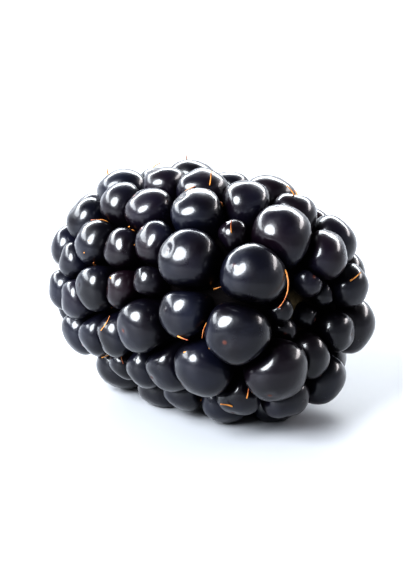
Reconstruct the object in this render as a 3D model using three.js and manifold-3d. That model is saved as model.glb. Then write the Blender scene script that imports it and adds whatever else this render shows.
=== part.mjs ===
// A ripe bramble berry as picked, lying on its side: drupelets grown together round one core.
// Millimetres, +Z up. X is the berry's axis, from its tip to the stem end.
// The origin is on the surface that the berry rests on, below the middle of its bounding box.

import * as THREE from "three";
import { mergeVertices } from "three/addons/utils/BufferGeometryUtils.js";
import Module from "manifold-3d";

// The ovoid that the drupelets' centres lie on.
const HALF_LENGTH = 13.3;
const HALF_WIDTH = 8.3;
const STEM_FULLNESS = 0.03; // how much wider it gets towards the stem end, and narrower towards the tip
const SQUARENESS = 2.7; // 2 is an ellipse, and more gives blunter ends

// The hollow at the stem end, with the scar where the stalk came off.
const HOLLOW_DEPTH = 2.6;
const HOLLOW_RADIUS = 3.6;
const SCAR_RADIUS = 1.9;
const SCAR_TOP_RADIUS = 1.6;
const SCAR_HEIGHT = 0.8;
const SCAR_SIDES = 16;

// The core, whose skin lies this far outside the drupelets' centres.
const CORE_MARGIN = 0.3;
const CORE_RINGS = 12;
const CORE_SIDES = 20;

// Drupelets press into each other until their centres are CROWDING times their two radii apart.
const CROWDING = 0.86;
const SEED_SPACING = 0.68; // the same share when the hidden side is filled, before they settle
const OUTWARD_STRETCH = 1.1; // a drupelet is this much longer outwards than across
const SWELLING = 1.06; // how much drupelets swell once settled, to close the gaps between them
const HIDDEN_RADII = [1.95, 2.6];
const SEED_PLACES = 420;
const SETTLING_ROUNDS = 150;
const FACE_GIVE = 0.25; // how readily a drupelet of the front face gives way, where a hidden one is 1
const DRUPELET_DETAIL = 1;

// The soft underside: drupelets that would reach below the surface are pushed up, and stay a little
// flattened.
const SAG = 1.3;
const FLATTENING = 0.4;

// The front face is looked at from here: degrees round from -Y towards +X, and degrees above level.
const FACE_TURN = 45;
const FACE_ELEVATION = 18;

// Drupelets of the front face: how far across and up from its middle each one lies, and its radius.
const FRONT_FACE = [
  // the far rim, from left to right
  [-10.0, 7.0, 2.2], [-7.9, 8.4, 2.2], [-5.4, 8.8, 2.2], [-1.2, 8.9, 2.4],
  [2.6, 8.8, 2.1], [6.8, 8.4, 2.6], [10.6, 6.6, 2.5],
  // the upper row
  [-9.6, 5.9, 2.2], [-4.8, 7.0, 2.3], [-0.6, 6.4, 2.5], [4.1, 6.8, 2.3],
  // the row above the middle
  [-11.6, 3.4, 1.8], [-7.7, 4.3, 2.0], [-4.9, 4.4, 2.1], [-1.5, 3.2, 2.7],
  [2.3, 4.5, 1.3], [6.4, 4.1, 2.6], [10.2, 4.0, 2.4],
  // the middle row
  [-12.0, 0.3, 2.0], [-9.9, 0.7, 2.1], [-7.2, 0.3, 1.8], [-4.6, 1.0, 1.5],
  [-1.5, -1.8, 2.2], [3.9, 0.8, 2.65], [11.8, 0.4, 1.9],
  // the row below the middle
  [-10.2, -3.8, 2.0], [-7.7, -4.2, 2.0], [-5.0, -3.1, 2.5], [3.6, -4.0, 2.7], [11.7, -3.4, 1.9],
  // the low row, and those that the berry rests on
  [-7.4, -6.6, 1.8], [-4.5, -6.8, 2.1], [-0.4, -6.8, 2.6], [6.0, -6.6, 2.6],
  [9.2, -6.0, 2.2], [-1.0, -8.4, 2.1], [2.9, -8.5, 2.0],
  // the small ones round the hollow
  [9.3, 0.6, 1.2], [10.9, -0.6, 1.1], [10.4, -3.0, 1.2], [8.0, -4.0, 1.2], [6.6, -1.8, 1.0],
];

// How often a point is moved before it lies where it should.
const SEATING_ROUNDS = 6;
const PLACING_ROUNDS = 24;

const radians = THREE.MathUtils.degToRad;
const AXIS = new THREE.Vector3(1, 0, 0);
const LEVEL = new THREE.Vector3(0, 1, 0);
const UP = new THREE.Vector3(0, 0, 1);

// A point's distance from the axis.
function offsetOf(point) {
  return Math.hypot(point.y, point.z);
}

// The ovoid's half-width at a distance along the axis.
function girthAt(along) {
  return HALF_WIDTH * (1 + (STEM_FULLNESS * along) / HALF_LENGTH);
}

// The point moved straight out from the middle, or in, until it lies on the ovoid.
function seat(point) {
  const seated = point.clone();
  for (let round = 0; round < SEATING_ROUNDS; round++) {
    const lengthwise = Math.abs(seated.x / HALF_LENGTH) ** SQUARENESS;
    const crosswise = (offsetOf(seated) / girthAt(seated.x)) ** SQUARENESS;
    seated.divideScalar((lengthwise + crosswise) ** (1 / SQUARENESS));
  }
  return seated;
}

// The direction straight out of the ovoid at a point on it.
function outwardAt(point) {
  const power = SQUARENESS - 1;
  const lengthwise = (Math.sign(point.x) * Math.abs(point.x) ** power) / HALF_LENGTH ** SQUARENESS;
  const crosswise = offsetOf(point) ** power / girthAt(point.x) ** SQUARENESS;
  return new THREE.Vector3(0, point.y, point.z).setLength(crosswise).setX(lengthwise).normalize();
}

// How far a point on the ovoid sinks along the axis, into the hollow at the stem end.
function hollowAt(point) {
  return point.x > 0 ? HOLLOW_DEPTH * Math.exp(-((offsetOf(point) / HOLLOW_RADIUS) ** 4)) : 0;
}

// The place on the ovoid that lies so far across and up on the front face.
function facePlace(across, up) {
  const turn = radians(FACE_TURN);
  const elevation = radians(FACE_ELEVATION);
  const right = new THREE.Vector3(Math.cos(turn), Math.sin(turn), 0);
  const towards = new THREE.Vector3(Math.sin(turn), -Math.cos(turn), 0)
    .multiplyScalar(Math.cos(elevation)).setZ(Math.sin(elevation));
  const top = towards.clone().cross(right);
  let place = towards.clone().multiplyScalar(HALF_WIDTH);
  for (let round = 0; round < PLACING_ROUNDS; round++) {
    place.addScaledVector(right, across - place.dot(right));
    place.addScaledVector(top, up - place.dot(top));
    place = seat(place);
  }
  return place;
}

// A repeatable stand-in for chance, between the two ends of a range.
function pick(number, [low, high]) {
  const wave = Math.sin(number * 12.9898) * 43758.5453;
  return low + (high - low) * (wave - Math.floor(wave));
}

function roomBetween(one, other, share) {
  return one.place.distanceTo(other.place) - share * (one.radius + other.radius);
}

// Fills the hidden side: tries the places of a spiral from tip to stem, and keeps those with room.
function fillHiddenSide(drupelets) {
  const goldenAngle = Math.PI * (3 - Math.sqrt(5));
  for (let i = 0; i < SEED_PLACES; i++) {
    const share = (2 * i + 1) / SEED_PLACES - 1; // from -1 at the tip to 1 at the stem end
    const place = LEVEL.clone().applyAxisAngle(AXIS, i * goldenAngle)
      .multiplyScalar(HALF_WIDTH * Math.sqrt(1 - share * share))
      .setX(share * HALF_LENGTH);
    const seed = { place: seat(place), radius: pick(i, HIDDEN_RADII), give: 1 };
    const overScar = share > 0 && offsetOf(seed.place) < SCAR_RADIUS + seed.radius / 2;
    if (!overScar && drupelets.every((other) => roomBetween(seed, other, SEED_SPACING) > 0)) {
      drupelets.push(seed);
    }
  }
}

// Pushes crowded drupelets apart over the ovoid.
function settle(drupelets) {
  for (let round = 0; round < SETTLING_ROUNDS; round++) {
    drupelets.forEach((one, i) => {
      for (const other of drupelets.slice(i + 1)) {
        const room = roomBetween(one, other, CROWDING);
        if (room < 0) {
          const step = one.place.clone().sub(other.place)
            .setLength(-room / (one.give + other.give) / 2);
          one.place = seat(one.place.addScaledVector(step, one.give));
          other.place = seat(other.place.addScaledVector(step, -other.give));
        }
      }
    });
  }
}

// How far a drupelet reaches from its centre in a direction.
function reach({ radius, out }, direction) {
  const slant = out.dot(direction);
  return radius * Math.sqrt(1 + (OUTWARD_STRETCH ** 2 - 1) * slant * slant);
}

// Every drupelet's centre, outward direction and radius, and how far the ovoid was moved to rest and
// to be centred.
function layOut() {
  const placed = FRONT_FACE.map(([across, up, radius]) => (
    { place: facePlace(across, up), radius, give: FACE_GIVE }
  ));
  fillHiddenSide(placed);
  settle(placed);
  const drupelets = placed.map(({ place, radius }) => ({
    centre: place.clone().addScaledVector(AXIS, -hollowAt(place)),
    out: outwardAt(place),
    radius: radius * SWELLING,
  }));

  const lowest = (direction) => Math.min(
    ...drupelets.map((drupelet) => drupelet.centre.dot(direction) - reach(drupelet, direction)),
  );
  const middle = (direction) => (lowest(direction) - lowest(direction.clone().negate())) / 2;
  const shift = new THREE.Vector3(-middle(AXIS), -middle(LEVEL), -lowest(UP) - SAG);
  for (const drupelet of drupelets) {
    drupelet.centre.add(shift);
    drupelet.centre.z = Math.max(drupelet.centre.z, reach(drupelet, UP) - FLATTENING);
  }
  return { drupelets, shift };
}

const wasm = await Module();
wasm.setup();

// A geometry as a solid, with its shared vertices merged.
function solidOf(geometry) {
  geometry.deleteAttribute("normal");
  geometry.deleteAttribute("uv");
  const merged = mergeVertices(geometry, 1e-4);
  return new wasm.Manifold(new wasm.Mesh({
    numProp: 3,
    vertProperties: merged.attributes.position.array,
    triVerts: new Uint32Array(merged.index.array),
  }));
}

// A solid as a geometry.
function geometryOf(solid) {
  const { vertProperties, triVerts } = solid.getMesh();
  const geometry = new THREE.BufferGeometry();
  geometry.setAttribute("position", new THREE.BufferAttribute(vertProperties, 3));
  geometry.setIndex(new THREE.BufferAttribute(triVerts, 1));
  geometry.computeVertexNormals();
  return geometry;
}

function drupeletSolid({ centre, out, radius }) {
  const ball = new THREE.IcosahedronGeometry(radius, DRUPELET_DETAIL);
  ball.scale(1, OUTWARD_STRETCH, 1);
  ball.applyQuaternion(new THREE.Quaternion().setFromUnitVectors(LEVEL, out));
  ball.translate(centre.x, centre.y, centre.z);
  return solidOf(ball);
}

// A shape turned about +Y, laid along the berry's axis and moved to the resting place.
function layAlongAxis(geometry, shift) {
  return geometry.rotateZ(-Math.PI / 2).translate(shift.x, shift.y, shift.z);
}

// The core follows the ovoid from the tip to the stem end and dips into the hollow.
function coreSolid(shift) {
  const profile = [];
  for (let ring = 0; ring <= CORE_RINGS; ring++) {
    const angle = Math.PI * (ring / CORE_RINGS - 0.5);
    const atEnd = ring === 0 || ring === CORE_RINGS;
    const width = atEnd ? 0 : HALF_WIDTH * Math.cos(angle);
    const point = seat(new THREE.Vector3(HALF_LENGTH * Math.sin(angle), width, 0));
    const skin = point.clone().setLength(point.length() + CORE_MARGIN);
    profile.push(new THREE.Vector2(skin.y, skin.x - hollowAt(point)));
  }
  return solidOf(layAlongAxis(new THREE.LatheGeometry(profile, CORE_SIDES), shift));
}

// The scar is a low round stub that stands on the floor of the hollow.
function scarSolid(shift) {
  const floor = HALF_LENGTH + CORE_MARGIN - HOLLOW_DEPTH;
  const stub = new THREE.CylinderGeometry(SCAR_TOP_RADIUS, SCAR_RADIUS, 4 * SCAR_HEIGHT, SCAR_SIDES);
  stub.translate(0, floor - SCAR_HEIGHT, 0);
  return solidOf(layAlongAxis(stub, shift));
}

// Everything below the resting surface, to be cut away.
function groundSolid() {
  const ground = new THREE.BoxGeometry(4 * HALF_LENGTH, 4 * HALF_LENGTH, HALF_WIDTH);
  return solidOf(ground.translate(0, 0, -HALF_WIDTH / 2));
}

function makeBerry() {
  const { drupelets, shift } = layOut();
  const grown = drupelets.map(drupeletSolid)
    .reduce((whole, drupelet) => whole.add(drupelet), coreSolid(shift).add(scarSolid(shift)));
  const skin = new THREE.MeshStandardMaterial({ color: 0x140c16, roughness: 0.22, metalness: 0 });
  const mesh = new THREE.Mesh(geometryOf(grown.subtract(groundSolid())), skin);
  mesh.name = "berry";
  return mesh;
}

const bramble = new THREE.Group();
bramble.add(makeBerry());

export default bramble;
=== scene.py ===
# A ripe bramble berry, made as a Blender add-on is laid out and run as a script.
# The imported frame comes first: every place below is in its coordinates, with the berry's axis along X.
import math
import random
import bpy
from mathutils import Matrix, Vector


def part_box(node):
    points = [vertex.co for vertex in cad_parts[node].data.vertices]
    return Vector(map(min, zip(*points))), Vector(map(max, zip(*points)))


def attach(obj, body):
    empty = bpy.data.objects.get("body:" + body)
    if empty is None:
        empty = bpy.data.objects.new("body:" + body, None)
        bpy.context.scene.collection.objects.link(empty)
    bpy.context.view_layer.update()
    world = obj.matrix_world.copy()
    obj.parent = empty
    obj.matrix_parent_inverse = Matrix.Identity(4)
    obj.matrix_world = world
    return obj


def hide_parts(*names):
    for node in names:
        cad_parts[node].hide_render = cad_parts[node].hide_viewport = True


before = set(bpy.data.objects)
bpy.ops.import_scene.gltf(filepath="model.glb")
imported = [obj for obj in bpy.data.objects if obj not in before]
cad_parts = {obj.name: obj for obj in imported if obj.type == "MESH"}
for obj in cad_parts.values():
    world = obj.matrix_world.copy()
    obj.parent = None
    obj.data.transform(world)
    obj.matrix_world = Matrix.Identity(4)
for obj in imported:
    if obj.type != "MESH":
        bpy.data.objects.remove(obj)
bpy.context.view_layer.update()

from types import SimpleNamespace

import bmesh
import bpy
import numpy as np
from bpy.props import FloatProperty, FloatVectorProperty, IntProperty, PointerProperty
from mathutils import Matrix, Vector, noise
from mathutils.bvhtree import BVHTree

bl_info = {
    "name": "Bramble berry",
    "version": (1, 0, 0),
    "blender": (4, 5, 0),
    "location": "View3D > Sidebar > Bramble berry",
    "description": "Grows a ripe bramble berry round its packed frame, and lights it",
    "category": "Add Mesh",
}

BODY = "root"
MM = 0.001

# ---------------------------------------------------------------------------------------------
# Layout: where every drupelet grows, in millimetres, the same as in the solid part
# ---------------------------------------------------------------------------------------------

# The ovoid that the drupelets' centres lie on.
HALF_LENGTH = 13.3
HALF_WIDTH = 8.3
STEM_FULLNESS = 0.03  # how much wider it gets towards the stem end, and narrower towards the tip
SQUARENESS = 2.7  # 2 is an ellipse, and more gives blunter ends

# The hollow at the stem end, with the scar where the stalk came off.
HOLLOW_DEPTH = 2.6
HOLLOW_RADIUS = 3.6
SCAR_RADIUS = 1.9
SCAR_HEIGHT = 0.8

# Drupelets press into each other until their centres are CROWDING times their two radii apart.
CROWDING = 0.86
SEED_SPACING = 0.68  # the same share when the hidden side is filled, before they settle
OUTWARD_STRETCH = 1.1  # a drupelet is this much longer outwards than across
SWELLING = 1.06  # how much drupelets swell once settled, to close the gaps between them
HIDDEN_RADII = (1.95, 2.6)
SEED_PLACES = 420
SETTLING_ROUNDS = 150
FACE_GIVE = 0.25  # how readily a drupelet of the front face gives way, where a hidden one is 1

# The soft underside: drupelets that would reach below the surface are pushed up, and stay a little
# flattened.
SAG = 1.3
FLATTENING = 0.4

# The front face is looked at from here: round from -Y towards +X, and above level.
FACE_TURN = math.radians(45)
FACE_ELEVATION = math.radians(18)
FACE_RIGHT = np.array((math.cos(FACE_TURN), math.sin(FACE_TURN), 0.0))
FACE_TOWARDS = np.array((
    math.sin(FACE_TURN) * math.cos(FACE_ELEVATION),
    -math.cos(FACE_TURN) * math.cos(FACE_ELEVATION),
    math.sin(FACE_ELEVATION),
))
FACE_TOP = np.cross(FACE_TOWARDS, FACE_RIGHT)

# Drupelets of the front face: how far across and up from its middle each one lies, and its radius.
FRONT_FACE = (
    # the far rim, from left to right
    (-10.0, 7.0, 2.2), (-7.9, 8.4, 2.2), (-5.4, 8.8, 2.2), (-1.2, 8.9, 2.4),
    (2.6, 8.8, 2.1), (6.8, 8.4, 2.6), (10.6, 6.6, 2.5),
    # the upper row
    (-9.6, 5.9, 2.2), (-4.8, 7.0, 2.3), (-0.6, 6.4, 2.5), (4.1, 6.8, 2.3),
    # the row above the middle
    (-11.6, 3.4, 1.8), (-7.7, 4.3, 2.0), (-4.9, 4.4, 2.1), (-1.5, 3.2, 2.7),
    (2.3, 4.5, 1.3), (6.4, 4.1, 2.6), (10.2, 4.0, 2.4),
    # the middle row
    (-12.0, 0.3, 2.0), (-9.9, 0.7, 2.1), (-7.2, 0.3, 1.8), (-4.6, 1.0, 1.5),
    (-1.5, -1.8, 2.2), (3.9, 0.8, 2.65), (11.8, 0.4, 1.9),
    # the row below the middle
    (-10.2, -3.8, 2.0), (-7.7, -4.2, 2.0), (-5.0, -3.1, 2.5), (3.6, -4.0, 2.7), (11.7, -3.4, 1.9),
    # the low row, and those that the berry rests on
    (-7.4, -6.6, 1.8), (-4.5, -6.8, 2.1), (-0.4, -6.8, 2.6), (6.0, -6.6, 2.6),
    (9.2, -6.0, 2.2), (-1.0, -8.4, 2.1), (2.9, -8.5, 2.0),
    # the small ones round the hollow
    (9.3, 0.6, 1.2), (10.9, -0.6, 1.1), (10.4, -3.0, 1.2), (8.0, -4.0, 1.2), (6.6, -1.8, 1.0),
)

# How often a point is moved before it lies where it should.
SEATING_ROUNDS = 6
PLACING_ROUNDS = 24

# The wave whose far digits stand in for chance.
WAVE_STEP = 12.9898
WAVE_HEIGHT = 43758.5453


def offset_of(point):
    """A point's distance from the berry's axis."""
    return math.hypot(point[1], point[2])


def girth_at(along):
    """The ovoid's half-width at a distance along the axis."""
    return HALF_WIDTH * (1 + STEM_FULLNESS * along / HALF_LENGTH)


def seat(point):
    """The point moved straight out from the middle, or in, until it lies on the ovoid."""
    x, y, z = point
    for _ in range(SEATING_ROUNDS):
        lengthwise = abs(x / HALF_LENGTH) ** SQUARENESS
        crosswise = (math.hypot(y, z) / girth_at(x)) ** SQUARENESS
        share = (lengthwise + crosswise) ** (1 / SQUARENESS)
        x, y, z = x / share, y / share, z / share
    return x, y, z


def outward_at(point):
    """The direction straight out of the ovoid at a point on it."""
    power = SQUARENESS - 1
    lengthwise = math.copysign(abs(point[0]) ** power, point[0]) / HALF_LENGTH**SQUARENESS
    offset = offset_of(point)
    crosswise = offset ** (power - 1) / girth_at(point[0]) ** SQUARENESS
    out = np.array((lengthwise, point[1] * crosswise, point[2] * crosswise))
    return out / np.linalg.norm(out)


def hollow_at(point):
    """How far a point on the ovoid sinks along the axis, into the hollow at the stem end."""
    if point[0] <= 0:
        return 0.0
    return HOLLOW_DEPTH * math.exp(-((offset_of(point) / HOLLOW_RADIUS) ** 4))


def face_place(across, up):
    """The place on the ovoid that lies so far across and up on the front face."""
    place = FACE_TOWARDS * HALF_WIDTH
    for _ in range(PLACING_ROUNDS):
        place = place + FACE_RIGHT * (across - place @ FACE_RIGHT)
        place = place + FACE_TOP * (up - place @ FACE_TOP)
        place = np.array(seat(place))
    return tuple(float(value) for value in place)


def pick(number, low, high):
    """A repeatable stand-in for chance, between the two ends of a range."""
    wave = math.sin(number * WAVE_STEP) * WAVE_HEIGHT
    return low + (high - low) * (wave - math.floor(wave))


def room_between(one, other, share):
    """The room between two drupelets that may come within a share of their two radii."""
    return math.dist(one.place, other.place) - share * (one.radius + other.radius)


def fill_hidden_side(placed):
    """Tries the places of a spiral from tip to stem, and keeps those with room."""
    golden_angle = math.pi * (3 - math.sqrt(5))
    for i in range(SEED_PLACES):
        share = (2 * i + 1) / SEED_PLACES - 1
        width = HALF_WIDTH * math.sqrt(1 - share * share)
        turn = i * golden_angle
        place = seat((share * HALF_LENGTH, width * math.cos(turn), width * math.sin(turn)))
        seed = SimpleNamespace(place=place, radius=pick(i, *HIDDEN_RADII), give=1.0)
        over_scar = share > 0 and offset_of(place) < SCAR_RADIUS + seed.radius / 2
        if not over_scar and all(room_between(seed, other, SEED_SPACING) > 0 for other in placed):
            placed.append(seed)


def settle(placed):
    """Pushes crowded drupelets apart over the ovoid."""
    for _ in range(SETTLING_ROUNDS):
        for i, one in enumerate(placed):
            for other in placed[i + 1:]:
                room = room_between(one, other, CROWDING)
                if room < 0:
                    apart = [a - b for a, b in zip(one.place, other.place)]
                    step = -room / (one.give + other.give) / 2 / math.hypot(*apart)
                    one.place = seat([a + step * one.give * d for a, d in zip(one.place, apart)])
                    other.place = seat([a - step * other.give * d for a, d in zip(other.place, apart)])


def reach(drupelet, direction):
    """How far a drupelet reaches from its centre in a direction."""
    slant = float(drupelet.out @ direction)
    return drupelet.radius * math.sqrt(1 + (OUTWARD_STRETCH**2 - 1) * slant * slant)


def lay_out():
    """Every drupelet's centre, outward direction and radius, and how far the ovoid was moved."""
    placed = [
        SimpleNamespace(place=face_place(across, up), radius=radius, give=FACE_GIVE)
        for across, up, radius in FRONT_FACE
    ]
    fill_hidden_side(placed)
    settle(placed)
    axes = np.eye(3)
    drupelets = [
        SimpleNamespace(
            centre=np.array(one.place) - axes[0] * hollow_at(one.place),
            out=outward_at(one.place),
            radius=one.radius * SWELLING,
        )
        for one in placed
    ]

    def lowest(direction):
        return min(float(one.centre @ direction) - reach(one, direction) for one in drupelets)

    middle = [(lowest(axis) - lowest(-axis)) / 2 for axis in axes[:2]]
    shift = np.array((-middle[0], -middle[1], -lowest(axes[2]) - SAG))
    for one in drupelets:
        one.centre = one.centre + shift
        one.centre[2] = max(one.centre[2], reach(one, axes[2]) - FLATTENING)
    return drupelets, shift


DRUPELETS, SHIFT = lay_out()


# ---------------------------------------------------------------------------------------------
# Settings that a user would change
# ---------------------------------------------------------------------------------------------


class BrambleDrupelets(bpy.types.PropertyGroup):
    """The shape and colour of the drupelets."""

    fullness: FloatProperty(
        name="Fullness", default=0.1, subtype="FACTOR",
        description="How much wider a drupelet would grow if it had no neighbours",
    )
    gap: FloatProperty(
        name="Gap", default=0.07 * MM, unit="LENGTH",
        description="Room between two drupelets where they press on each other",
    )
    tautness: FloatProperty(
        name="Tautness", default=6.0, min=4.0, max=24.0,
        description="How sharply a drupelet's skin turns where a neighbour presses on it",
    )
    lumpiness: FloatProperty(
        name="Lumpiness", default=0.05, subtype="FACTOR",
        description="How far a drupelet strays from an even ball, as a share of its radius",
    )
    tip_lean: FloatProperty(
        name="Tip lean", default=0.38,
        description="How far the scars of the styles lean towards the berry's tip",
    )
    dimple: FloatProperty(
        name="Dimple", default=0.12 * MM, unit="LENGTH",
        description="Depth of the dimple round the scar of each style",
    )
    sides: IntProperty(name="Sides", default=44, min=12, description="Faces round a drupelet")
    rings: IntProperty(
        name="Rings", default=22, min=8, description="Faces from a drupelet's tip to its foot",
    )
    ripe_colour: FloatVectorProperty(
        name="Ripe colour", default=(0.0022, 0.0017, 0.0040), size=3, subtype="COLOR",
        description="Skin of a fully ripe drupelet",
    )
    bloom_colour: FloatVectorProperty(
        name="Bloom colour", default=(0.008, 0.010, 0.022), size=3, subtype="COLOR",
        description="The thin bluish wax on parts of the skin",
    )
    wine_colour: FloatVectorProperty(
        name="Wine colour", default=(0.0090, 0.0024, 0.0058), size=3, subtype="COLOR",
        description="Skin of the least ripe drupelets",
    )
    scar_colour: FloatVectorProperty(
        name="Scar colour", default=(0.09, 0.024, 0.014), size=3, subtype="COLOR",
        description="The scar that a style leaves",
    )


class BrambleCore(bpy.types.PropertyGroup):
    """The core that the drupelets grow on."""

    inset: FloatProperty(
        name="Inset", default=0.9 * MM, unit="LENGTH",
        description="How far the core's skin lies inside the drupelets' centres",
    )
    # The core's near-black colour between the drupelets: partly a real juice stain, partly painted
    # shade, darkened so that the crevices read black.
    stain_and_shade_colour: FloatVectorProperty(
        name="Stained colour", default=(0.0018, 0.0009, 0.0012), size=3, subtype="COLOR",
        description="The core between the drupelets, stained by their juice",
    )
    pith_colour: FloatVectorProperty(
        name="Pith colour", default=(0.20, 0.155, 0.085), size=3, subtype="COLOR",
        description="The core's fibres at the scar of the stalk",
    )


class BrambleStyles(bpy.types.PropertyGroup):
    """The dry styles, the hairs that stay on the berry."""

    length: FloatProperty(
        name="Length", default=1.5 * MM, unit="LENGTH", description="Length of a middling style",
    )
    thickness: FloatProperty(
        name="Thickness", default=0.16 * MM, unit="LENGTH",
        description="Thickness of a style at its foot",
    )
    share: FloatProperty(
        name="Share", default=0.4, subtype="FACTOR",
        description="Share of the hidden drupelets that still carry their style",
    )
    valleys: IntProperty(
        name="Valleys", default=34, min=0, description="How many styles stick out between two drupelets",
    )
    straw_colour: FloatVectorProperty(
        name="Straw colour", default=(0.56, 0.26, 0.06), size=3, subtype="COLOR",
        description="The golden foot of a style",
    )
    rust_colour: FloatVectorProperty(
        name="Rust colour", default=(0.24, 0.06, 0.022), size=3, subtype="COLOR",
        description="The red-brown tip of a style",
    )


class BrambleStage(bpy.types.PropertyGroup):
    """The studio: surface, lights and camera."""

    surface_colour: FloatVectorProperty(
        name="Surface colour", default=(0.345, 0.35, 0.367), size=3, subtype="COLOR",
        description="The pale surface",
    )
    key: FloatProperty(name="Key", default=23.5, description="Brightness of the soft key light")
    back: FloatProperty(name="Back", default=10.5, description="Brightness of the wide light behind")
    left: FloatProperty(name="Left", default=10.5, description="Brightness of the light on the left")
    right: FloatProperty(name="Right", default=9.5, description="Brightness of the light on the right")
    sky: FloatProperty(name="Sky", default=0.12, description="Brightness of the sky all round")
    focal_length: FloatProperty(
        name="Focal length", default=150.0, unit="CAMERA", description="Focal length of the camera",
    )
    framing: FloatProperty(
        name="Framing", default=0.76, subtype="FACTOR",
        description="Share of the picture's width that the berry fills",
    )


# ---------------------------------------------------------------------------------------------
# Shared helpers
# ---------------------------------------------------------------------------------------------


def make_object(bm, name, material):
    """A finished bmesh as a smooth object in the scene."""
    for face in bm.faces:
        face.smooth = True
    mesh = bpy.data.meshes.new(name)
    bm.to_mesh(mesh)
    bm.free()
    mesh.materials.append(material)
    made = bpy.data.objects.new(name, mesh)
    bpy.context.scene.collection.objects.link(made)
    return made


def finish_piece(bm, name, material):
    """A finished bmesh as a piece that rides on the berry's one body."""
    piece = make_object(bm, name, material)
    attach(piece, BODY)
    return piece


def add_to(whole, part):
    """Moves what one bmesh holds into another."""
    mesh = bpy.data.meshes.new("part")
    part.to_mesh(mesh)
    part.free()
    whole.from_mesh(mesh)
    bpy.data.meshes.remove(mesh)


def new_material(name):
    """A material, its shader's inputs, and functions that add a node to it and fill a socket."""
    material = bpy.data.materials.new(name)
    material.use_nodes = True
    tree = material.node_tree

    def node(kind, inputs=None, **settings):
        made = tree.nodes.new(kind)
        for key, value in settings.items():
            setattr(made, key, value)
        for socket, value in (inputs or {}).items():
            put(made.inputs[socket], value)
        return made

    def put(socket, value):
        if isinstance(value, bpy.types.NodeSocket):
            tree.links.new(value, socket)
        else:
            socket.default_value = value

    return SimpleNamespace(
        material=material, shader=tree.nodes["Principled BSDF"].inputs, node=node, put=put,
    )


def opaque(colour):
    """A colour with full alpha, as sockets want it."""
    return (*colour, 1.0)


def mix_colours(made, factor, first, second):
    """The colour output of a Mix node, between two colours or sockets."""
    mix = made.node("ShaderNodeMix", data_type="RGBA")
    for name, value in (("Factor", factor), ("A", first), ("B", second)):
        enabled = (socket for socket in mix.inputs if socket.name == name and socket.enabled)
        made.put(next(enabled), value)
    return next(socket for socket in mix.outputs if socket.enabled)


# ---------------------------------------------------------------------------------------------
# Drupelets
# ---------------------------------------------------------------------------------------------

DRUPELET_SEED = 11
POLE_CROWDING = 1.5  # more gathers a drupelet's rings towards its scar
NEAR = 1.3  # drupelets this many times their two radii apart don't touch
LEAST_DEPTH = 0.25  # the least share of its radius that a drupelet keeps towards a neighbour
LUMP_SIZE = 1.3  # more gives smaller lumps
LUMP_STEP = (3.7, 1.9, 0.0)  # the step from one drupelet's lumps to the next one's
SCAR_STRAY = 0.18  # how far a scar strays from where it leans to

# The dimple at the top of a drupelet and the nub in it, which is the scar, in millimetres.
DIMPLE_RADIUS = 0.5
NUB_RADIUS = 0.17
NUB_HEIGHT = 0.07

# How drupelets differ: middle and spread of how unripe they are, and least and most of their dimples'
# depth, as shares of the setting, and of how rusty their scars are.
UNRIPENESS = (0.06, 0.25)
DIMPLE_DEPTHS = (0.4, 2.2)
RUST = (0.1, 1.0)
RUST_POWER = 1.5  # more makes rusty scars rarer


def drupelet_skin(settings):
    """Taut, glossy, near-black skin, a little redder here and there, with rusty scars."""
    made = new_material("drupelet_skin")
    node = made.node
    place = node("ShaderNodeTexCoord").outputs["Object"]
    unripeness = node("ShaderNodeAttribute", attribute_name="unripeness").outputs["Fac"]
    scar = node("ShaderNodeAttribute", attribute_name="scar").outputs["Fac"]

    blotches = node("ShaderNodeTexNoise", {"Vector": place, "Scale": 420.0, "Detail": 3.0})
    uneven = node("ShaderNodeMapRange", {
        "Value": blotches.outputs["Fac"],
        "From Min": 0.35, "From Max": 0.7, "To Min": -0.15, "To Max": 0.2,
    })
    redness = node("ShaderNodeMath", {
        0: unripeness, 1: uneven.outputs["Result"],
    }, operation="ADD", use_clamp=True)
    skin = mix_colours(
        made, redness.outputs[0], opaque(settings.ripe_colour), opaque(settings.wine_colour),
    )
    wax = node("ShaderNodeTexNoise", {"Vector": place, "Scale": 190.0, "Detail": 2.0})
    thickness = node("ShaderNodeMapRange", {
        "Value": wax.outputs["Fac"],
        "From Min": 0.42, "From Max": 0.75, "To Min": 0.0, "To Max": 0.7,
    })
    waxed = mix_colours(made, thickness.outputs["Result"], skin, opaque(settings.bloom_colour))
    made.put(made.shader["Base Color"], mix_colours(made, scar, waxed, opaque(settings.scar_colour)))

    sheen = node("ShaderNodeTexNoise", {"Vector": place, "Scale": 900.0, "Detail": 4.0})
    polish = node("ShaderNodeMapRange", {
        "Value": sheen.outputs["Fac"],
        "From Min": 0.3, "From Max": 0.75, "To Min": 0.27, "To Max": 0.4,
    })
    rough = node(
        "ShaderNodeMath", {0: scar, 1: 0.4, 2: polish.outputs["Result"]}, operation="MULTIPLY_ADD",
    )
    made.put(made.shader["Roughness"], rough.outputs[0])

    pores = node("ShaderNodeTexNoise", {"Vector": place, "Scale": 2600.0, "Detail": 2.0})
    swells = node("ShaderNodeTexNoise", {"Vector": place, "Scale": 600.0, "Detail": 1.0})
    height = node("ShaderNodeMath", {
        0: swells.outputs["Fac"], 1: 3.0, 2: pores.outputs["Fac"],
    }, operation="MULTIPLY_ADD")
    bump = node("ShaderNodeBump", {
        "Height": height.outputs[0], "Strength": 0.5, "Distance": 0.03 * MM,
    })
    made.put(made.shader["Normal"], bump.outputs["Normal"])
    made.shader["IOR"].default_value = 1.38
    made.shader["Coat Weight"].default_value = 0.65
    made.shader["Coat IOR"].default_value = 1.4
    made.shader["Coat Roughness"].default_value = 0.09
    return made.material


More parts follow.
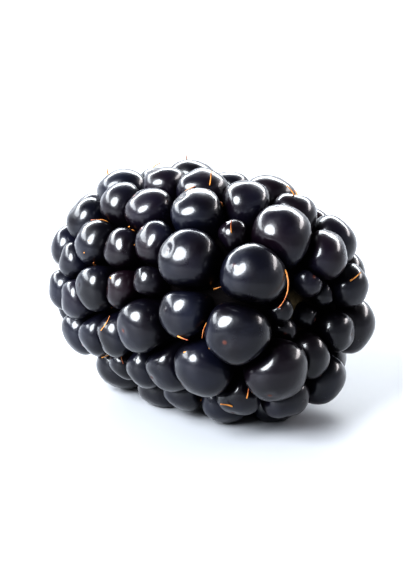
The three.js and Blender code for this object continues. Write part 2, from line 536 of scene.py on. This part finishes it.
def neighbour_planes(drupelet, gap):
    """The planes that squeeze a drupelet, one for each close neighbour, as directions and distances."""
    planes = []
    for other in DRUPELETS:
        apart = other.centre - drupelet.centre
        distance = float(np.linalg.norm(apart))
        if other is drupelet or distance > NEAR * (drupelet.radius + other.radius):
            continue
        share = (distance**2 + drupelet.radius**2 - other.radius**2) / (2 * distance)
        planes.append((apart / distance, max(share - gap / 2, LEAST_DEPTH * drupelet.radius)))
    return planes


def squeezed_reach(drupelet, directions, settings, number):
    """How far the skin lies from the centre in each direction, in millimetres."""
    slant = (directions @ drupelet.out) ** 2
    wide = drupelet.radius * (1 + settings.fullness)
    tall = drupelet.radius * OUTWARD_STRETCH
    own = 1 / np.sqrt((1 - slant) / wide**2 + slant / tall**2)
    elsewhere = Vector([number * step for step in LUMP_STEP])
    lumps = np.array([noise.noise(Vector(way) * LUMP_SIZE + elsewhere) for way in directions])
    own = own * (1 + settings.lumpiness * lumps)
    cut = own ** -settings.tautness
    for normal, distance in neighbour_planes(drupelet, settings.gap / MM):
        facing = np.clip(directions @ normal, 0, None)
        cut += (facing / distance) ** settings.tautness
    return cut ** (-1 / settings.tautness)


def scar_direction(drupelet, settings, chance):
    """Where the style grew: outwards, leaning towards the berry's tip."""
    stray = np.array([chance.uniform(-SCAR_STRAY, SCAR_STRAY) for _ in range(3)])
    direction = drupelet.out + stray - np.array((settings.tip_lean, 0.0, 0.0))
    return direction / np.linalg.norm(direction)


def grow_drupelet(drupelet, number, settings):
    """One drupelet as a bmesh: a ball with its pole at the scar, squeezed by its neighbours."""
    ball = bmesh.new()
    unripeness = ball.verts.layers.float.new("unripeness")
    scar = ball.verts.layers.float.new("scar")
    bmesh.ops.create_uvsphere(ball, u_segments=settings.sides, v_segments=settings.rings, radius=1.0)
    unit = np.array([tuple(vert.co) for vert in ball.verts])
    polar = np.arccos(np.clip(unit[:, 2], -1, 1))
    around = np.arctan2(unit[:, 1], unit[:, 0])
    crowded = math.pi * (polar / math.pi) ** POLE_CROWDING
    local = np.stack((
        np.sin(crowded) * np.cos(around), np.sin(crowded) * np.sin(around), np.cos(crowded),
    ), axis=1)
    turn = np.array(Vector(drupelet.scar).to_track_quat("Z", "Y").to_matrix())
    directions = local @ turn.T
    skin = squeezed_reach(drupelet, directions, settings, number)
    from_scar = crowded * drupelet.radius
    skin -= drupelet.dimple * settings.dimple / MM * np.exp(-((from_scar / DIMPLE_RADIUS) ** 2))
    skin += NUB_HEIGHT * np.exp(-((from_scar / NUB_RADIUS) ** 2))
    places = (drupelet.centre + directions * skin[:, None]) * MM
    places[:, 2] = np.maximum(places[:, 2], 0.0)
    for vert, place, distance in zip(ball.verts, places, from_scar):
        vert.co = place
        vert[unripeness] = drupelet.unripeness
        vert[scar] = drupelet.rust * math.exp(-((distance / NUB_RADIUS) ** 4))
    return ball


class BRAMBLE_OT_drupelets(bpy.types.Operator):
    """Grow the drupelets, squeezed together on the ovoid"""

    bl_idname = "bramble.drupelets"
    bl_label = "Grow the drupelets"

    def execute(self, context):
        settings = context.scene.bramble_drupelets
        chance = random.Random(DRUPELET_SEED)
        whole = bmesh.new()
        for number, drupelet in enumerate(DRUPELETS):
            drupelet.unripeness = max(0.0, chance.gauss(*UNRIPENESS))
            drupelet.scar = scar_direction(drupelet, settings, chance)
            drupelet.dimple = chance.uniform(*DIMPLE_DEPTHS)
            drupelet.rust = chance.uniform(*RUST) ** RUST_POWER
            add_to(whole, grow_drupelet(drupelet, number, settings))
        piece = finish_piece(whole, "drupelets", drupelet_skin(settings))
        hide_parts("berry")
        return {"FINISHED"}


# ---------------------------------------------------------------------------------------------
# Core
# ---------------------------------------------------------------------------------------------

CORE_SIDES = 72
CORE_RINGS = 96
SCAR_EDGE = 0.12  # how softly the scar of the stalk rises, in millimetres
PITH_REACH = 1.1  # how far the pale pith shows, as a share of the scar's radius
PITH_EDGE = 0.25  # how softly it ends, in millimetres
RIPPLE_SIZE = 0.9  # more gives smaller ripples
RIPPLE_HEIGHT = 0.18


def core_flesh(settings):
    """Fibrous core: near-black between the drupelets, from juice stain and painted crevice shade, and
    pale where the stalk came off.
    """
    made = new_material("core")
    node = made.node
    place = node("ShaderNodeTexCoord").outputs["Object"]
    pith = node("ShaderNodeAttribute", attribute_name="pith").outputs["Fac"]
    stretched = node("ShaderNodeMapping", {"Vector": place, "Scale": (300.0, 2400.0, 2400.0)})
    fibres = node("ShaderNodeTexNoise", {
        "Vector": stretched.outputs["Vector"], "Scale": 1.0, "Detail": 4.0,
    })
    pale = mix_colours(
        made, fibres.outputs["Fac"], opaque(settings.stain_and_shade_colour), opaque(settings.pith_colour),
    )
    # Away from the pith, the core takes the near-black colour that is part juice stain, part painted
    # crevice shade.
    made.put(made.shader["Base Color"], mix_colours(made, pith, opaque(settings.stain_and_shade_colour), pale))
    bump = node("ShaderNodeBump", {
        "Height": fibres.outputs["Fac"], "Strength": 0.8, "Distance": 0.12 * MM,
    })
    made.put(made.shader["Normal"], bump.outputs["Normal"])
    made.shader["Roughness"].default_value = 0.7
    made.shader["Specular IOR Level"].default_value = 0.05
    return made.material


def grow_core(settings):
    """The core: a ball stretched to the ovoid, with the hollow and the scar at the stem end."""
    ball = bmesh.new()
    pith = ball.verts.layers.float.new("pith")
    bmesh.ops.create_uvsphere(ball, u_segments=CORE_SIDES, v_segments=CORE_RINGS, radius=1.0)
    bmesh.ops.rotate(ball, verts=ball.verts, matrix=Matrix.Rotation(math.pi / 2, 3, "Y"))
    for vert in ball.verts:
        x, y, z = vert.co
        x, y, z = seat((x * HALF_LENGTH, y * HALF_WIDTH, z * HALF_WIDTH))
        keep = 1 - settings.inset / MM / math.sqrt(x * x + y * y + z * z)
        ripple = RIPPLE_HEIGHT * noise.noise(Vector((x, y, z)) * RIPPLE_SIZE)
        scar = 0.0
        if x > 0:
            offset = math.hypot(y, z)
            scar = SCAR_HEIGHT / (1 + math.exp((offset - SCAR_RADIUS) / SCAR_EDGE))
            vert[pith] = 1 / (1 + math.exp((offset - SCAR_RADIUS * PITH_REACH) / PITH_EDGE))
        sunk = hollow_at((x, y, z))
        place = np.array((x * keep - sunk + scar + ripple, y * keep, z * keep))
        vert.co = (place + SHIFT) * MM
    return ball


class BRAMBLE_OT_core(bpy.types.Operator):
    """Grow the core, with the scar of the stalk in the hollow at its end"""

    bl_idname = "bramble.core"
    bl_label = "Grow the core"

    def execute(self, context):
        settings = context.scene.bramble_core
        finish_piece(grow_core(settings), "core", core_flesh(settings))
        return {"FINISHED"}


# ---------------------------------------------------------------------------------------------
# Dry styles
# ---------------------------------------------------------------------------------------------

STYLE_SEED = 5
STYLE_SIDES = 5
STYLE_STEPS = 8
STYLE_BEND = (0.15, 0.42)  # least and most that it turns to one side, from step to step
STYLE_STRAY = 0.16  # the most that it strays any way, from step to step
STYLE_TAPER = ((0, 0.5), (0.55, 0.36), (0.85, 0.26), (1, 0.38))  # how far along, radius for thickness
ROOT_DEPTH = 0.05  # how far a style's foot lies under the skin, in millimetres
VALLEY_DEPTH = 0.5  # how far below the skin's own height it comes out of a valley

# Least and most thickness and length of the styles, as shares of a middling one's.
THICKNESSES = (0.8, 1.15)
SCAR_LENGTHS = (0.35, 0.95)
VALLEY_LENGTHS = (0.55, 1.2)

# Styles of the front face: how far across and up from its middle each one comes out, the way it leans
# in degrees from across towards up, how far it curls that way round, and its length.
FACE_STYLES = (
    (0.3, 9.0, 80, 10, 1.3), (-1.8, 8.5, 35, -20, 1.0), (7.5, 8.1, 120, 20, 1.1),
    (-6.8, 5.5, 20, 30, 1.2), (2.1, 4.8, 100, -20, 1.1), (-10.6, 3.2, 60, 20, 1.3),
    (-8.2, 1.1, -70, 30, 1.0), (0.6, 0.1, 15, 10, 1.0), (12.2, 0.8, 30, 20, 1.2),
    (-8.2, -1.5, 110, -20, 1.0), (-9.1, -3.5, 50, 20, 1.6), (-2.4, -3.8, -30, 20, 1.0),
    (-1.9, -5.2, 10, 20, 0.9), (0.2, -4.8, 5, 15, 1.5), (3.4, -9.1, 75, 20, 1.4),
    (2.2, -9.8, 160, 20, 1.1), (6.5, 1.7, -70, -70, 3.6),
)
FACE_RISE = 0.35  # how far these stand out, for each part that they lean sideways


def dry_style_fibre(settings):
    """Dry plant hair, golden at the foot and rusty at the tip."""
    made = new_material("dry_styles")
    node = made.node
    place = node("ShaderNodeTexCoord").outputs["Object"]
    along = node("ShaderNodeAttribute", attribute_name="along").outputs["Fac"]
    tone = node("ShaderNodeAttribute", attribute_name="tone").outputs["Fac"]
    specks = node("ShaderNodeTexNoise", {"Vector": place, "Scale": 3000.0, "Detail": 2.0})
    rust = node(
        "ShaderNodeMath", {0: along, 1: tone, 2: specks.outputs["Fac"]}, operation="MULTIPLY_ADD",
    )
    spread = node("ShaderNodeMapRange", {"Value": rust.outputs[0], "From Min": 0.35, "From Max": 1.1})
    colour = mix_colours(
        made, spread.outputs["Result"], opaque(settings.straw_colour), opaque(settings.rust_colour),
    )
    made.put(made.shader["Base Color"], colour)
    made.shader["Roughness"].default_value = 0.5
    return made.material


def style_path(foot, out, length, chance):
    """A bent path in metres: out of the berry first, then wandering off to one side."""
    bend = Vector([chance.uniform(-1, 1) for _ in range(3)])
    bend = (bend - out * bend.dot(out)).normalized() * chance.uniform(*STYLE_BEND)
    direction = out.copy()
    path = [foot.copy()]
    for _ in range(STYLE_STEPS):
        stray = Vector([chance.uniform(-STYLE_STRAY, STYLE_STRAY) for _ in range(3)])
        direction = (direction + bend + stray).normalized()
        path.append(path[-1] + direction * (length / STYLE_STEPS))
    return path


def lying_path(foot, heading, curl, length):
    """A path in metres that lies over the front face and curls as it goes."""
    path = [foot.copy()]
    for step in range(STYLE_STEPS):
        angle = math.radians(heading + curl * step / STYLE_STEPS)
        lean = FACE_RIGHT * math.cos(angle) + FACE_TOP * math.sin(angle)
        direction = Vector(lean + FACE_TOWARDS * FACE_RISE).normalized()
        path.append(path[-1] + direction * (length / STYLE_STEPS))
    return path


def grow_style(path, thickness, tone):
    """One hair as a bmesh: a small ring carried along a path, tapered, with a knob at the tip."""
    hair = bmesh.new()
    along = hair.verts.layers.float.new("along")
    tones = hair.verts.layers.float.new("tone")
    radii = np.interp(np.linspace(0, 1, len(path)), *zip(*STYLE_TAPER)) * thickness
    direction = (path[1] - path[0]).normalized()
    upright = direction.to_track_quat("Z", "Y").to_matrix().to_4x4()
    bmesh.ops.create_circle(
        hair, segments=STYLE_SIDES, radius=radii[0], cap_ends=True,
        matrix=Matrix.Translation(path[0]) @ upright,
    )
    edges = list(hair.edges)
    for step in range(1, len(path)):
        grown = bmesh.ops.extrude_edge_only(hair, edges=edges)["geom"]
        ring = [item for item in grown if isinstance(item, bmesh.types.BMVert)]
        edges = [
            item for item in grown
            if isinstance(item, bmesh.types.BMEdge) and all(vert in ring for vert in item.verts)
        ]
        ahead = (path[min(step + 1, len(path) - 1)] - path[step - 1]).normalized()
        turn = direction.rotation_difference(ahead).to_matrix()
        shrink = radii[step] / radii[step - 1]
        bmesh.ops.rotate(hair, verts=ring, cent=path[step - 1], matrix=turn)
        bmesh.ops.translate(hair, verts=ring, vec=path[step] - path[step - 1])
        bmesh.ops.scale(hair, verts=ring, vec=(shrink,) * 3, space=Matrix.Translation(-path[step]))
        direction = ahead
        for vert in ring:
            vert[along] = step / (len(path) - 1)
    bmesh.ops.contextual_create(hair, geom=edges)
    bmesh.ops.recalc_face_normals(hair, faces=hair.faces)
    for vert in hair.verts:
        vert[tones] = tone
    return hair


def scar_paths(berry, settings, chance):
    """Paths of the styles that still stand on their scars, beyond the front face."""
    for drupelet in DRUPELETS[len(FRONT_FACE):]:
        if chance.random() < settings.share:
            out = Vector(drupelet.scar)
            start = Vector(drupelet.centre * MM) + out * (2 * drupelet.radius * MM)
            foot = berry.ray_cast(start, -out)[0] - out * ROOT_DEPTH * MM
            yield style_path(foot, out, settings.length * chance.uniform(*SCAR_LENGTHS), chance)


def valley_paths(settings, chance):
    """Paths of styles that come out of the valleys between two drupelets."""
    pairs = []
    for i, one in enumerate(DRUPELETS):
        for other in DRUPELETS[i + 1:]:
            distance = float(np.linalg.norm(other.centre - one.centre))
            share = (distance**2 + one.radius**2 - other.radius**2) / (2 * distance)
            if 0 < share < one.radius:
                pairs.append((one, other, share / distance, math.sqrt(one.radius**2 - share**2)))
    for one, other, share, height in chance.sample(pairs, settings.valleys):
        out = one.out + other.out
        out /= np.linalg.norm(out)
        foot = one.centre + (other.centre - one.centre) * share + out * (height - VALLEY_DEPTH)
        length = settings.length * chance.uniform(*VALLEY_LENGTHS)
        yield style_path(Vector(foot * MM), Vector(out), length, chance)


def face_paths(surfaces):
    """Paths of the front face's own styles, which lie over it."""
    for across, up, heading, curl, length in FACE_STYLES:
        start = SHIFT + FACE_RIGHT * across + FACE_TOP * up + FACE_TOWARDS * 3 * HALF_LENGTH
        hits = [surface.ray_cast(Vector(start * MM), Vector(-FACE_TOWARDS)) for surface in surfaces]
        foot = min((hit for hit in hits if hit[0] is not None), key=lambda hit: hit[3])[0]
        yield lying_path(foot, heading, curl, length * MM)


class BRAMBLE_OT_styles(bpy.types.Operator):
    """Grow the dry styles, from the scars and between the drupelets"""

    bl_idname = "bramble.styles"
    bl_label = "Grow the dry styles"

    def execute(self, context):
        settings = context.scene.bramble_styles
        chance = random.Random(STYLE_SEED)
        depsgraph = context.evaluated_depsgraph_get()
        surfaces = [
            BVHTree.FromObject(bpy.data.objects[name], depsgraph) for name in ("drupelets", "core")
        ]
        paths = [
            *scar_paths(surfaces[0], settings, chance),
            *valley_paths(settings, chance),
            *face_paths(surfaces),
        ]
        whole = bmesh.new()
        for path in paths:
            thickness = settings.thickness * chance.uniform(*THICKNESSES)
            tone = chance.random()
            if min(point.z for point in path) > settings.thickness:
                add_to(whole, grow_style(path, thickness, tone))
        finish_piece(whole, "dry_styles", dry_style_fibre(settings))
        return {"FINISHED"}


# ---------------------------------------------------------------------------------------------
# Stage
# ---------------------------------------------------------------------------------------------

# The stage's own measures are in metres.
SURFACE_RADIUS = 0.6
SURFACE_SIDES = 96
WALL_CURVE = 0.25
WALL_STEPS = 12
WALL_HEIGHT = 0.3
SAME_PLACE = 1e-6  # points nearer than this are one

PICTURE_SHAPE = 403 / 565  # the picture's width over its height
FACE_WIDTH = 0.88  # the front face's width over the berry's length
CLIP_START = 0.01  # the camera sees nothing nearer than this

# The soft lights: name, degrees to the right of the camera, degrees above level, distance, width,
# height and colour.
DAYLIGHT = (0.92, 0.965, 1.0)
WARMER = (1.0, 0.95, 0.95)
LIGHTS = (
    ("key", -50, 38, 0.42, 0.30, 0.30, DAYLIGHT),
    ("back", 180, 32, 0.5, 1.1, 0.17, DAYLIGHT),
    ("left", -112, 27, 0.5, 0.55, 0.13, DAYLIGHT),
    ("right", 112, 27, 0.5, 0.45, 0.10, WARMER),
)


def stage_surface(settings):
    """Plain pale card, hardly glossy, with a faint grain."""
    made = new_material("surface")
    place = made.node("ShaderNodeTexCoord").outputs["Object"]
    grain = made.node("ShaderNodeTexNoise", {"Vector": place, "Scale": 900.0, "Detail": 2.0})
    bump = made.node("ShaderNodeBump", {
        "Height": grain.outputs["Fac"], "Strength": 0.05, "Distance": 0.05 * MM,
    })
    made.put(made.shader["Normal"], bump.outputs["Normal"])
    made.shader["Base Color"].default_value = opaque(settings.surface_colour)
    made.shader["Roughness"].default_value = 0.55
    return made.material


def make_surface(settings):
    """A round surface whose edge curves up into a low wall all round."""
    bm = bmesh.new()
    flat = SURFACE_RADIUS - WALL_CURVE
    profile = [bm.verts.new((0, 0, 0)), bm.verts.new((flat, 0, 0))]
    for step in range(1, WALL_STEPS + 1):
        angle = step / WALL_STEPS * math.pi / 2
        profile.append(bm.verts.new((
            flat + WALL_CURVE * math.sin(angle), 0, WALL_CURVE * (1 - math.cos(angle)),
        )))
    profile.append(bm.verts.new((SURFACE_RADIUS, 0, WALL_CURVE + WALL_HEIGHT)))
    edges = [bm.edges.new(pair) for pair in zip(profile, profile[1:])]
    bmesh.ops.spin(
        bm, geom=profile + edges, axis=(0, 0, 1), cent=(0, 0, 0), angle=2 * math.pi,
        steps=SURFACE_SIDES, use_merge=True,
    )
    bmesh.ops.remove_doubles(bm, verts=bm.verts, dist=SAME_PLACE)
    bmesh.ops.recalc_face_normals(bm, faces=bm.faces)
    surface = make_object(bm, "surface", stage_surface(settings))


def make_light(name, brightness, turn, elevation, distance, width, height, colour, aim):
    """An oval soft light that shines at aim, as bright all over as brightness says."""
    light = bpy.data.lights.new(name, "AREA")
    light.energy = brightness * math.pi * math.pi * width * height / 4  # for an ellipse
    light.color = colour
    light.shape = "ELLIPSE"
    light.size = width
    light.size_y = height
    turn = FACE_TURN + math.radians(turn)
    elevation = math.radians(elevation)
    back = Vector((
        math.sin(turn) * math.cos(elevation), -math.cos(turn) * math.cos(elevation), math.sin(elevation),
    ))
    holder = bpy.data.objects.new(name, light)
    holder.location = aim + back * distance
    holder.rotation_euler = back.to_track_quat("Z", "Y").to_euler()
    holder.visible_camera = False
    bpy.context.scene.collection.objects.link(holder)


def make_camera(settings, low, high):
    """A camera that looks at the middle of the front face."""
    camera = bpy.data.cameras.new("camera")
    camera.lens = settings.focal_length
    camera.clip_start = CLIP_START
    towards = Vector(FACE_TOWARDS)
    picture_width = FACE_WIDTH * (high.x - low.x) / settings.framing
    distance = camera.lens * picture_width / (camera.sensor_width * PICTURE_SHAPE)
    holder = bpy.data.objects.new("camera", camera)
    holder.location = (low + high) / 2 + towards * distance
    holder.rotation_euler = towards.to_track_quat("Z", "Y").to_euler()
    bpy.context.scene.collection.objects.link(holder)
    bpy.context.scene.camera = holder


class BRAMBLE_OT_stage(bpy.types.Operator):
    """Set the surface, the lights and the camera"""

    bl_idname = "bramble.stage"
    bl_label = "Set the stage"

    def execute(self, context):
        scene = context.scene
        settings = scene.bramble_stage
        make_surface(settings)
        low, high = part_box("berry")
        middle = (low + high) / 2
        for name, *place in LIGHTS:
            make_light(name, getattr(settings, name), *place, middle)
        world = bpy.data.worlds.new("studio")
        world.use_nodes = True
        sky = world.node_tree.nodes["Background"].inputs
        sky["Color"].default_value = opaque(DAYLIGHT)
        sky["Strength"].default_value = settings.sky
        scene.world = world
        make_camera(settings, low, high)
        scene.view_settings.view_transform = "Standard"
        scene.view_settings.look = "High Contrast"
        return {"FINISHED"}


# ---------------------------------------------------------------------------------------------
# Add-on
# ---------------------------------------------------------------------------------------------

GROUPS = {
    "bramble_drupelets": BrambleDrupelets,
    "bramble_core": BrambleCore,
    "bramble_styles": BrambleStyles,
    "bramble_stage": BrambleStage,
}


class BRAMBLE_PT_panel(bpy.types.Panel):
    """Lists the bramble berry's pieces and the stage, with their settings"""

    bl_label = "Bramble berry"
    bl_space_type = "VIEW_3D"
    bl_region_type = "UI"
    bl_category = "Bramble berry"

    def draw(self, context):
        for name, group in GROUPS.items():
            box = self.layout.box()
            for setting in group.__annotations__:
                box.prop(getattr(context.scene, name), setting)
            box.operator(name.replace("_", ".", 1))


CLASSES = (
    BRAMBLE_OT_drupelets,
    BRAMBLE_OT_core,
    BRAMBLE_OT_styles,
    BRAMBLE_OT_stage,
    BRAMBLE_PT_panel,
)


def register():
    for name, group in GROUPS.items():
        bpy.utils.register_class(group)
        setattr(bpy.types.Scene, name, PointerProperty(type=group))
    for cls in CLASSES:
        bpy.utils.register_class(cls)


def unregister():
    for cls in reversed(CLASSES):
        bpy.utils.unregister_class(cls)
    for name, group in reversed(GROUPS.items()):
        delattr(bpy.types.Scene, name)
        bpy.utils.unregister_class(group)


def main():
    register()
    bpy.ops.bramble.drupelets()
    bpy.ops.bramble.core()
    bpy.ops.bramble.styles()
    bpy.ops.bramble.stage()


if __name__ == "__main__":
    main()
